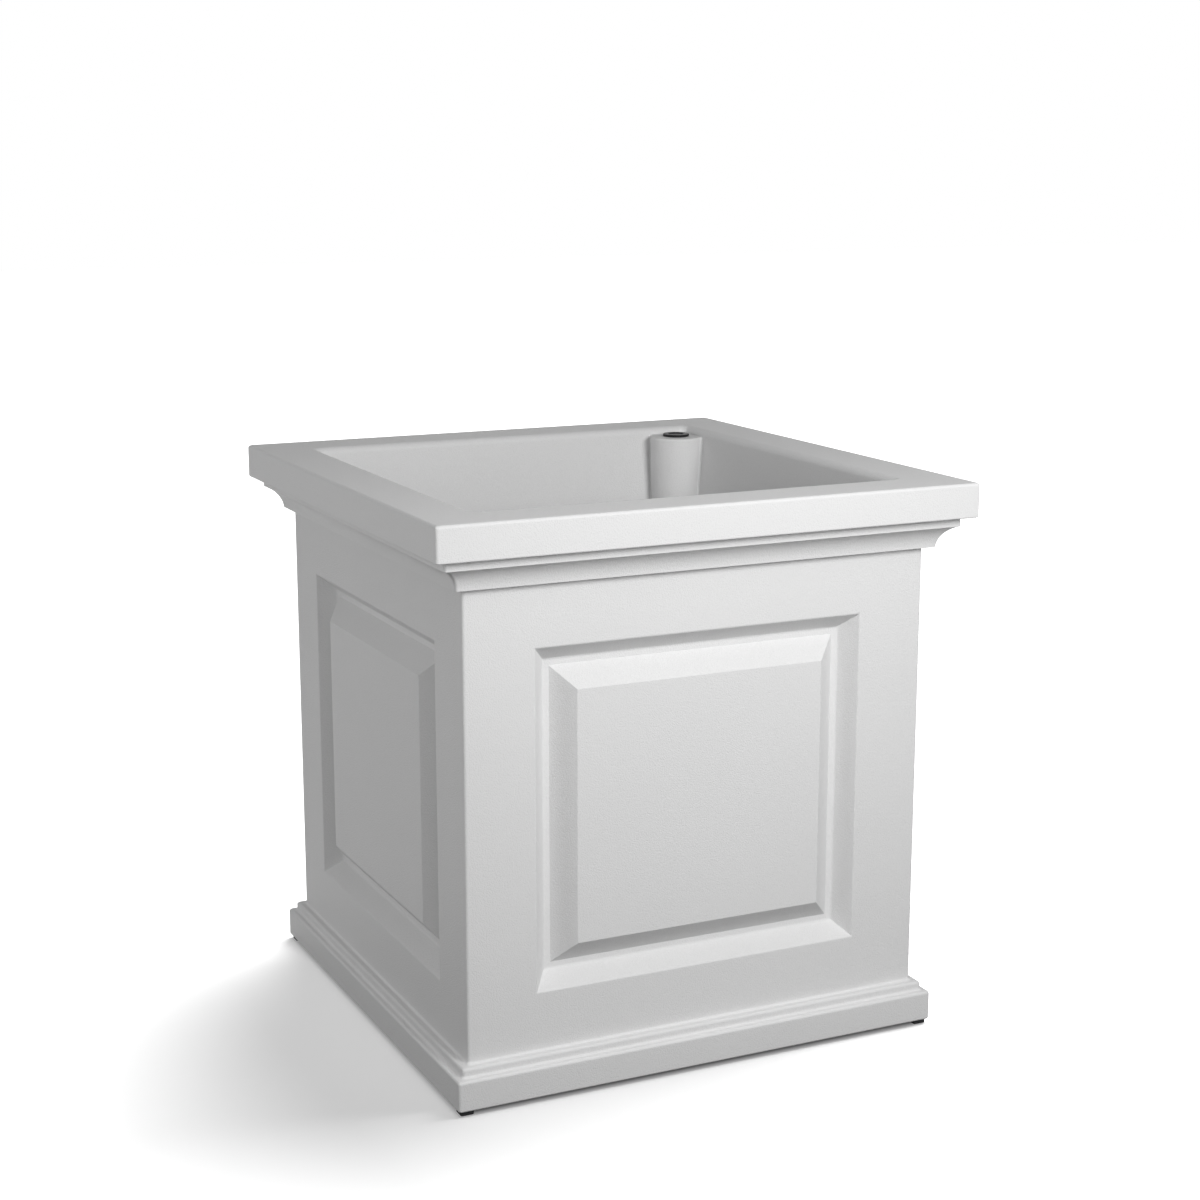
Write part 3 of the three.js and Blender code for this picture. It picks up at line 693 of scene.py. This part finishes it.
def liner_with_walls(at):
    """The liner with its walls: what the hollow keeps clear of."""
    floor_z = at.liner_floor - at.wall
    points = [
        (at.liner_half(floor_z) + at.wall, floor_z),
        (at.opening + at.wall, at.opening_round),
        (at.mouth, at.top - at.wall),
        (at.mouth, at.top),
    ]
    return lathed("liner_walls", closed(points), liner_corner(at), at.corner)


def well(name, at, grow, edge_radius):
    """Tapered wick well under the liner's floor, grown outwards, with a soft upper edge."""
    liner = at.liner
    lean = math.tan(liner.well_draft)

    def half_at(z):
        return liner.well_width / 2 - (at.liner_floor - z) * lean + grow

    foot_z = at.well_floor - grow
    rim_half = half_at(at.liner_floor)
    above = at.liner_floor + OVERRUN
    points = eased([
        (0.0, foot_z),
        (half_at(foot_z), foot_z, WELL_FOOT_RADIUS + grow),
        (rim_half, at.liner_floor, edge_radius),
        (rim_half + 2 * WELL_EDGE_RADIUS, at.liner_floor),
    ], at.small_arc)[:-1]
    points += [(points[-1].x, above), (0.0, above)]
    return lathed(name, points, lambda half: liner.well_corner_radius + grow + max(0.0, half - rim_half),
                  at.corner)


def slot_bars(at):
    """Upright slots with round ends, through both sides of the well."""
    liner = at.liner
    reach = liner.well_width / 2 + at.wall + OVERRUN
    half = liner.slot_width / 2
    points = [(-half, -reach), (0.0, -reach), (0.0, reach), (-half, reach)]
    bar = lathed("slot", points, half, at.corner, width=liner.slot_width, length=liner.slot_height)
    middle = at.well_floor + liner.slot_sill + liner.slot_height / 2
    return repeated(moved(bar, (0.0, 0.0, middle), TO_FRONT), sides=2, count=liner.slots_per_side,
                    pitch=liner.slot_pitch)


def column_outline(at, z, radius):
    """Plan of the fill column: a round front with a hollow fillet to each wall, closed behind."""
    hollow = at.liner.column_fillet
    wall = at.liner_half(min(z, at.opening_round))
    centre_across = wall - hollow
    across = centre_across - at.column_axis
    along = math.sqrt((radius + hollow) ** 2 - across ** 2)
    lean = math.degrees(math.atan2(across, along))
    beside = at.column_axis - along
    behind = wall + OVERRUN
    back = arc(beside, centre_across, hollow, 90, -lean, at.large_arc)
    front = arc(at.column_axis, at.column_axis, radius, 180 - lean, 270 + lean, at.facets.column_front)
    right = arc(centre_across, beside, hollow, 90 + lean, 0, at.large_arc)
    return [(behind, behind), (back[0].x, behind), *back, *front[1:-1], *right, (behind, right[-1].y)]


def column(at):
    """Fill column in the corner of the planting space, with a rounded upper edge."""
    edge_radius = at.liner.column_edge_radius
    levels = at.facets.column_levels
    foot_z = at.liner_floor - OVERRUN
    round_z = at.column_top - edge_radius
    shaft = [foot_z + (round_z - foot_z) * i / levels for i in range(levels)]
    edge = arc(at.column_radius(round_z) - edge_radius, round_z, edge_radius, 0, 90, at.small_arc)
    profile = [Vector((at.column_radius(z), z)) for z in shaft] + edge
    return loft("column", [(column_outline(at, p.y, p.x), p.y) for p in profile])


def column_core(at):
    """Hollow inside the column, open below and towards the corner of the case."""
    case_corner = at.body - at.wall
    levels = []
    for z in (at.liner_floor - at.wall - OVERRUN, at.column_top - at.wall):
        radius = at.column_radius(z) - at.wall
        outline = arc(at.column_axis, at.column_axis, radius, 135, 315, at.facets.column_front)
        outline += arc(case_corner, case_corner, radius, -45, 135, at.small_arc)
        levels.append((outline, z))
    return loft("column_core", levels)


def case_inside(at):
    """Inner face of the outer case, one wall inside the outside."""
    wall = at.wall
    cove = arc_between(*offset_line(*at.cove, wall), at.crown.cove_radius + wall, at.small_arc)
    points = [
        (at.plinth - wall, at.foot + wall),
        (at.plinth - wall, at.plinth_ledge - wall),
        (at.step - wall, at.plinth_ledge - wall),
        (at.step - wall, at.step_ledge - wall),
        (at.body - wall, at.step_ledge - wall),
        (at.body - wall, at.soffit + wall),
        *[p for p in cove if p.y > at.soffit + wall and p.x < at.band - wall],
        (at.band - wall, at.band_foot + wall),
        (at.band - wall, at.rim_soffit + wall),
        (at.rim - wall, at.rim_soffit + wall),
        (at.rim - wall, at.top - wall),
    ]
    return lathed("case_inside", closed(points), at.crown.corner_radius, at.corner)


def base_pan(name, at, grow):
    """Shallow raised middle of the underside, grown by one wall where the hollow clears it."""
    base = at.base
    half = at.plinth - base.pan_margin + grow
    spread = half + base.pan_depth
    points = eased([
        (0.0, at.foot - OVERRUN),
        (spread, at.foot - OVERRUN),
        (spread, at.foot + grow),
        (half, at.pan_top + grow, PAN_FOOT_RADIUS),
        (0.0, at.pan_top + grow),
    ], at.small_arc)
    return lathed(name, points, base.pan_corner_radius + grow, at.corner)


def bore(name, at, place, turn=UPRIGHT):
    """Bore along +Z through one wall, with softened edges; the wall's outer face is at zero."""
    flare = at.bore + BORE_EDGE
    points = [
        (0.0, -at.wall - OVERRUN),
        (flare, -at.wall - OVERRUN),
        (flare, -at.wall),
        (at.bore, -at.wall + BORE_EDGE),
        *arc(flare, -BORE_EDGE, BORE_EDGE, 180, 90, at.small_arc),
        (flare, OVERRUN),
        (0.0, OVERRUN),
    ]
    return moved(turned(name, points, at), place, turn)


def pad_seats(at):
    """Shallow square seats under the plinth's corners."""
    fittings = at.fittings
    half = PAD_HALF + fittings.pad_seat_clearance
    points = [(half, at.foot - OVERRUN), (half, at.foot + fittings.pad_seat_depth)]
    seat = lathed("pad_seats", closed(points), fittings.pad_corner_radius + fittings.pad_seat_clearance,
                  at.corner)
    return repeated(moved(seat, PAD_PLACE))


def water_space(at):
    """Hollow between the case and the liner, up into the crown."""
    liner = carved(liner_with_walls(at), "UNION", well("well_walls", at, at.wall, 0.0))
    carved(liner, "DIFFERENCE", column_core(at))
    return carved(case_inside(at), "DIFFERENCE", liner, base_pan("pan_walls", at, at.wall),
                  panel_backing(at))


def moulding(at):
    cavity = carved(liner_cavity(at), "DIFFERENCE", column(at))
    carved(cavity, "UNION", well("well", at, 0.0, WELL_EDGE_RADIUS))
    fill_bore = bore("fill_bore", at, (at.column_axis, at.column_axis, at.column_top))
    drain_bore = bore("drain_bore", at, (0.0, at.body, at.drain), TO_BACK)
    return carved(outside_body(at), "DIFFERENCE", cavity, water_space(at), base_pan("pan", at, 0.0),
                  fill_bore, drain_bore, panel_cut(at), slot_bars(at), pad_seats(at))


# ---- Fittings

def plug_profile(at, head):
    """Plug along +Z with a dished head, its underside at zero, and a hollow stem."""
    fittings = at.fittings
    thickness = fittings.plug_head_thickness
    stem_end = thickness - (FILL_HIGH[2] - FILL_LOW[2])
    stem = at.bore - fittings.bore_clearance
    hollow = stem - fittings.plug_stem_wall
    dish = head - fittings.plug_rim_width
    dish_z = thickness - fittings.plug_dish_depth
    web_z = dish_z - fittings.plug_web
    chamfer = fittings.plug_tip_chamfer
    soft = PLUG_SOFT_EDGE
    return eased([
        (0.0, web_z),
        (hollow, web_z, soft),
        (hollow, stem_end, soft),
        (stem - chamfer / 2, stem_end, soft),
        (stem, stem_end + chamfer, soft),
        (stem, 0.0, soft),
        (head, 0.0, soft),
        (head, thickness, fittings.plug_edge_radius),
        (dish + fittings.plug_edge_radius, thickness, soft),
        (dish, dish_z, soft),
        (0.0, dish_z),
    ], at.small_arc)


def plug(name, at, material, low, high, place, turn):
    head = (high[0] - low[0]) / 2
    return shaded(moved(turned(name, plug_profile(at, head), at, material), place, turn))


def washer(name, at, material):
    """Flat rubber ring with soft edges, against the back face."""
    thickness = WASHER_HIGH[1] - WASHER_LOW[1]
    outer = (WASHER_HIGH[0] - WASHER_LOW[0]) / 2
    corners = [Vector(p) for p in ((at.bore, 0), (outer, 0), (outer, thickness), (at.bore, thickness))]
    section = []
    for i, corner in enumerate(corners):
        section += rounded_corner(corners[i - 1], corner, corners[(i + 1) % len(corners)],
                                  at.fittings.washer_edge_radius, at.small_arc)
    ring = turned(name, [*section, section[0]], at, material)
    return shaded(moved(ring, (0.0, WASHER_LOW[1], at.drain), TO_BACK))


def foot_pads(name, at, material):
    """Four square rubber pads with soft lower edges."""
    points = eased([
        (0.0, PAD_LOW[2]),
        (PAD_HALF, PAD_LOW[2], at.fittings.pad_edge_radius),
        (PAD_HALF, PAD_HIGH[2], PLUG_SOFT_EDGE),
        (0.0, PAD_HIGH[2]),
    ], at.small_arc)
    pad = lathed(name, points, at.fittings.pad_corner_radius, at.corner)
    return shaded(repeated(moved(pad, PAD_PLACE), material=material))


# ---- Finishes

def grain_group():
    """Pebbled grain with a slow unevenness: its height, and a mask of about 0 to 1 for the tone."""
    make = GroupMaker("mould_grain", "ShaderNodeTree", [
        ("Pitch", "Float", 0.001),
        ("Drift", "Float", 0.12),
    ], [("Height", "Float"), ("Mottle", "Float")])
    place = make.node("ShaderNodeTexCoord").outputs["Object"]
    fine = make.math("DIVIDE", 1.0, make.entry["Pitch"])
    broad = make.math("DIVIDE", 1.0, make.entry["Drift"])
    pebbles = make.out("ShaderNodeTexVoronoi", {"Vector": place, "Scale": fine})
    slow = make.out("ShaderNodeTexNoise", {"Vector": place, "Scale": broad})
    ripple = make.out("ShaderNodeTexNoise", {
        "Vector": place,
        "Scale": make.math("MULTIPLY", fine, RIPPLE_FINENESS),
        "Detail": 3.0,
        "Roughness": 0.6,
    })
    swell = make.math("MULTIPLY", ripple, RIPPLE_HEIGHT)
    height = make.math("MULTIPLY_ADD", pebbles, -PEBBLE_HEIGHT, swell)
    speck = make.math("MULTIPLY_ADD", height, SPECK_SHARE, SPECK_MIDDLE)
    make.feed(make.exit["Height"], height)
    make.feed(make.exit["Mottle"], make.math("MULTIPLY_ADD", slow, DRIFT_SHARE, speck))
    return make.tree


def finish(name, tone, variation, rough, gloss, pitch, drift, depth):
    """The material of that name, made once: the shared grain varies its tone, roughness and normal."""
    found = bpy.data.materials.get(name)
    if found:
        return found
    material = bpy.data.materials.new(name)
    material.use_nodes = True
    material.diffuse_color = (*tone, 1.0)
    make = TreeMaker(material.node_tree)
    group = bpy.data.node_groups.get("mould_grain") or grain_group()
    grain = make.node("ShaderNodeGroup", {"Pitch": pitch, "Drift": drift}, node_tree=group).outputs
    mottle = grain["Mottle"]
    mix = make.node("ShaderNodeMix", {
        "Factor": mottle,
        "A": (*[value * (1 - variation) for value in tone], 1.0),
        "B": (*[min(1.0, value * (1 + variation)) for value in tone], 1.0),
    }, data_type="RGBA")
    spread = make.out("ShaderNodeMapRange", {"Value": mottle, "To Min": rough[0], "To Max": rough[1]})
    bump = make.out("ShaderNodeBump", {"Distance": depth, "Height": grain["Height"]})
    shader = make.tree.nodes["Principled BSDF"].inputs
    make.feed(shader["Base Color"], mix.outputs["Result"])
    make.feed(shader["Roughness"], spread)
    make.feed(shader["Specular IOR Level"], gloss)
    make.feed(shader["Normal"], bump)
    return material


def white_moulding(at):
    look = at.finish
    return finish("pebbled_moulding", tone=look.moulding_colour, variation=0.04, rough=(0.50, 0.62),
                  gloss=0.25, pitch=look.grain_pitch, drift=120 * MM, depth=look.grain_depth)


def black_plug(at):
    return finish("satin_plug", tone=at.finish.plug_colour, variation=0.25, rough=(0.40, 0.56),
                  gloss=0.15, pitch=0.7 * MM, drift=10 * MM, depth=0.03 * MM)


def black_rubber(at):
    return finish("matte_rubber", tone=at.finish.rubber_colour, variation=0.30, rough=(0.72, 0.86),
                  gloss=0.2, pitch=0.5 * MM, drift=8 * MM, depth=0.04 * MM)


# ---- Stage

def place_camera(scene):
    data = bpy.data.cameras.new("camera")
    data.sensor_width = CAMERA_SENSOR
    data.lens = CAMERA_LENS
    camera = placed("camera", data)
    camera.location = CAMERA_PLACE
    camera.rotation_euler = [math.radians(angle) for angle in CAMERA_TURN]
    scene.camera = camera


def place_lamp(name, kind, azimuth, elevation, distance, power, **shape):
    """Lamp that looks at the planter; azimuth 0 stands in front of it and 90 on its right."""
    data = bpy.data.lights.new(name, kind)
    data.energy = power
    for key, value in shape.items():
        setattr(data, key, value)
    turn = math.radians(azimuth)
    rise = math.radians(elevation)
    direction = Vector((math.sin(turn) * math.cos(rise), -math.cos(turn) * math.cos(rise), math.sin(rise)))
    lamp = placed(name, data)
    lamp.location = LAMP_AIM + direction * distance
    lamp.rotation_euler = direction.to_track_quat("Z", "Y").to_euler()
    return lamp


def share_light(floor, lamps, state):
    """Makes lamps light the floor alone (INCLUDE) or everything but the floor (EXCLUDE)."""
    group = bpy.data.collections.new("floor_light")
    group.objects.link(floor)
    group.collection_objects[0].light_linking.link_state = state
    for lamp in lamps:
        lamp.light_linking.receiver_collection = group


def cleared(block):
    """The block's node tree, emptied for its own nodes."""
    block.use_nodes = True
    block.node_tree.nodes.clear()
    return TreeMaker(block.node_tree)


def two_faced(make, output, lighting, seen):
    """Shows seen to the camera, a gloss or a glass, and lights everything else with lighting."""
    path = make.node("ShaderNodeLightPath").outputs
    sent_on = make.math("MAXIMUM", path["Is Glossy Ray"], path["Is Transmission Ray"])
    direct = make.math("MAXIMUM", path["Is Camera Ray"], sent_on)
    make.node(output, {"Surface": make.out("ShaderNodeMixShader", {0: direct, 1: lighting, 2: seen})})


def light_world(scene):
    scene.world = bpy.data.worlds.new("studio")
    make = cleared(scene.world)
    ambient = make.out("ShaderNodeBackground", {"Color": WHITE, "Strength": WORLD_STRENGTH})
    white = make.out("ShaderNodeBackground", {"Color": WHITE})
    two_faced(make, "ShaderNodeOutputWorld", ambient, white)


def clear_of_plinth(make):
    """0 under the planter and 1 beyond the dark line where the plinth comes near the floor; the fade between
    them is a painted contact shadow on the floor's glow.
    """
    place = make.node("ShaderNodeTexCoord").outputs["Object"]
    parts = make.node("ShaderNodeSeparateXYZ", {0: place}).outputs
    fade = make.node("ShaderNodeMapRange", {
        "Value": make.math("MAXIMUM", make.math("ABSOLUTE", parts["X"]), make.math("ABSOLUTE", parts["Y"])),
        "From Min": PAD_HIGH[0] + PAINTED_CONTACT_SHADE[0],
        "From Max": PAD_HIGH[0] + PAINTED_CONTACT_SHADE[1],
    }, interpolation_type="SMOOTHSTEP")
    return fade.outputs["Result"]


def floor_material():
    """Pale matte floor. Seen directly it glows as well, so that it is white but for the sun's shadow and a
    painted contact shadow along the plinth, where the glow fades.
    """
    material = bpy.data.materials.new("studio_floor")
    make = cleared(material)
    bare = make.out("ShaderNodeBsdfDiffuse", {"Color": FLOOR_COLOUR})
    pale = make.out("ShaderNodeBsdfDiffuse", {"Color": FLOOR_SEEN_COLOUR})
    # The glow fades next to the plinth: a painted contact shadow.
    glow = make.out("ShaderNodeEmission", {"Color": clear_of_plinth(make), "Strength": FLOOR_GLOW})
    lit = make.out("ShaderNodeAddShader", {0: pale, 1: glow})
    two_faced(make, "ShaderNodeOutputMaterial", bare, lit)
    return material


def lay_floor():
    mesh = bpy.data.meshes.new("studio_floor")
    reach = FLOOR_REACH
    mesh.from_pydata([(-reach, -reach, 0), (reach, -reach, 0), (reach, reach, 0), (-reach, reach, 0)],
                     [], [(0, 1, 2, 3)])
    mesh.materials.append(floor_material())
    return placed("studio_floor", mesh)


# ---- Operators and panel

class PLANTER_OT_moulding(bpy.types.Operator):
    """Build the double-walled moulding with its rim, raised panels, plinth, liner and wick well"""
    bl_idname = "planter.moulding"
    bl_label = "White moulding"

    def execute(self, context):
        at = Places(context.scene)
        piece = moulding(at)
        piece.data.materials.clear()
        piece.data.materials.append(white_moulding(at))
        shaded(piece)
        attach(piece, "planter")
        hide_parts("planter_shell")
        return {"FINISHED"}


class PLANTER_OT_plugs(bpy.types.Operator):
    """Build the two push-in plugs: one in the fill column, one low on the back"""
    bl_idname = "planter.plugs"
    bl_label = "Plugs"

    def execute(self, context):
        at = Places(context.scene)
        material = black_plug(at)
        head = at.fittings.plug_head_thickness
        above = (at.column_axis, at.column_axis, FILL_HIGH[2] - head)
        behind = (0.0, DRAIN_HIGH[1] - head, at.drain)
        for name, plug_name, low, high, place, turn in (
            ("fill_plug_moulded", "fill_plug", FILL_LOW, FILL_HIGH, above, UPRIGHT),
            ("drain_plug_moulded", "drain_plug", DRAIN_LOW, DRAIN_HIGH, behind, TO_BACK),
        ):
            piece = plug(name, at, material, low, high, place, turn)
            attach(piece, plug_name)
            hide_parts(plug_name)
        return {"FINISHED"}


class PLANTER_OT_washer(bpy.types.Operator):
    """Build the rubber washer under the drain plug's head"""
    bl_idname = "planter.washer"
    bl_label = "Washer"

    def execute(self, context):
        at = Places(context.scene)
        piece = washer("drain_washer_moulded", at, black_rubber(at))
        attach(piece, "drain_plug")
        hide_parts("drain_washer")
        return {"FINISHED"}


class PLANTER_OT_foot_pads(bpy.types.Operator):
    """Build the four rubber pads under the plinth's corners"""
    bl_idname = "planter.foot_pads"
    bl_label = "Foot pads"

    def execute(self, context):
        at = Places(context.scene)
        piece = foot_pads("foot_pads_moulded", at, black_rubber(at))
        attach(piece, "planter")
        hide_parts(*PADS)
        return {"FINISHED"}


class PLANTER_OT_stage(bpy.types.Operator):
    """Build the floor, the lights and the camera"""
    bl_idname = "planter.stage"
    bl_label = "Stage"

    def execute(self, context):
        scene = context.scene
        scene.view_settings.view_transform = "Standard"
        place_camera(scene)
        lamps = [place_lamp(name, "AREA", **settings) for name, settings in LAMPS.items()]
        light_world(scene)
        floor = lay_floor()
        share_light(floor, lamps, "EXCLUDE")
        share_light(floor, [place_lamp("floor_sun", "SUN", **FLOOR_SUN)], "INCLUDE")
        return {"FINISHED"}


class PLANTER_PT_panel(bpy.types.Panel):
    """Sizes, finishes and the pieces to build"""
    bl_idname = "PLANTER_PT_panel"
    bl_label = "Square floor planter"
    bl_space_type = "VIEW_3D"
    bl_region_type = "UI"
    bl_category = "Planter"

    def draw(self, context):
        for title, settings in SETTINGS.items():
            box = self.layout.box()
            box.label(text=settings.bl_rna.description or title)
            group = getattr(context.scene, title)
            for name in settings.__annotations__:
                box.prop(group, name)
        for operator in PIECES:
            self.layout.operator(operator.bl_idname)


# ---- Registration

SETTINGS = {
    "planter_crown": PlanterCrown,
    "planter_plinth": PlanterPlinth,
    "planter_panel": PlanterPanel,
    "planter_liner": PlanterLiner,
    "planter_fittings": PlanterFittings,
    "planter_finish": PlanterFinish,
    "planter_facets": PlanterFacets,
}
PIECES = (PLANTER_OT_moulding, PLANTER_OT_plugs, PLANTER_OT_washer, PLANTER_OT_foot_pads, PLANTER_OT_stage)
CLASSES = (*SETTINGS.values(), *PIECES, PLANTER_PT_panel)


def register():
    for item in CLASSES:
        bpy.utils.register_class(item)
    for name, settings in SETTINGS.items():
        setattr(bpy.types.Scene, name, bpy.props.PointerProperty(type=settings))


def unregister():
    for name in SETTINGS:
        delattr(bpy.types.Scene, name)
    for item in reversed(CLASSES):
        bpy.utils.unregister_class(item)


def main():
    register()
    bpy.ops.planter.stage()
    bpy.ops.planter.moulding()
    bpy.ops.planter.plugs()
    bpy.ops.planter.washer()
    bpy.ops.planter.foot_pads()


if __name__ == "__main__":
    main()
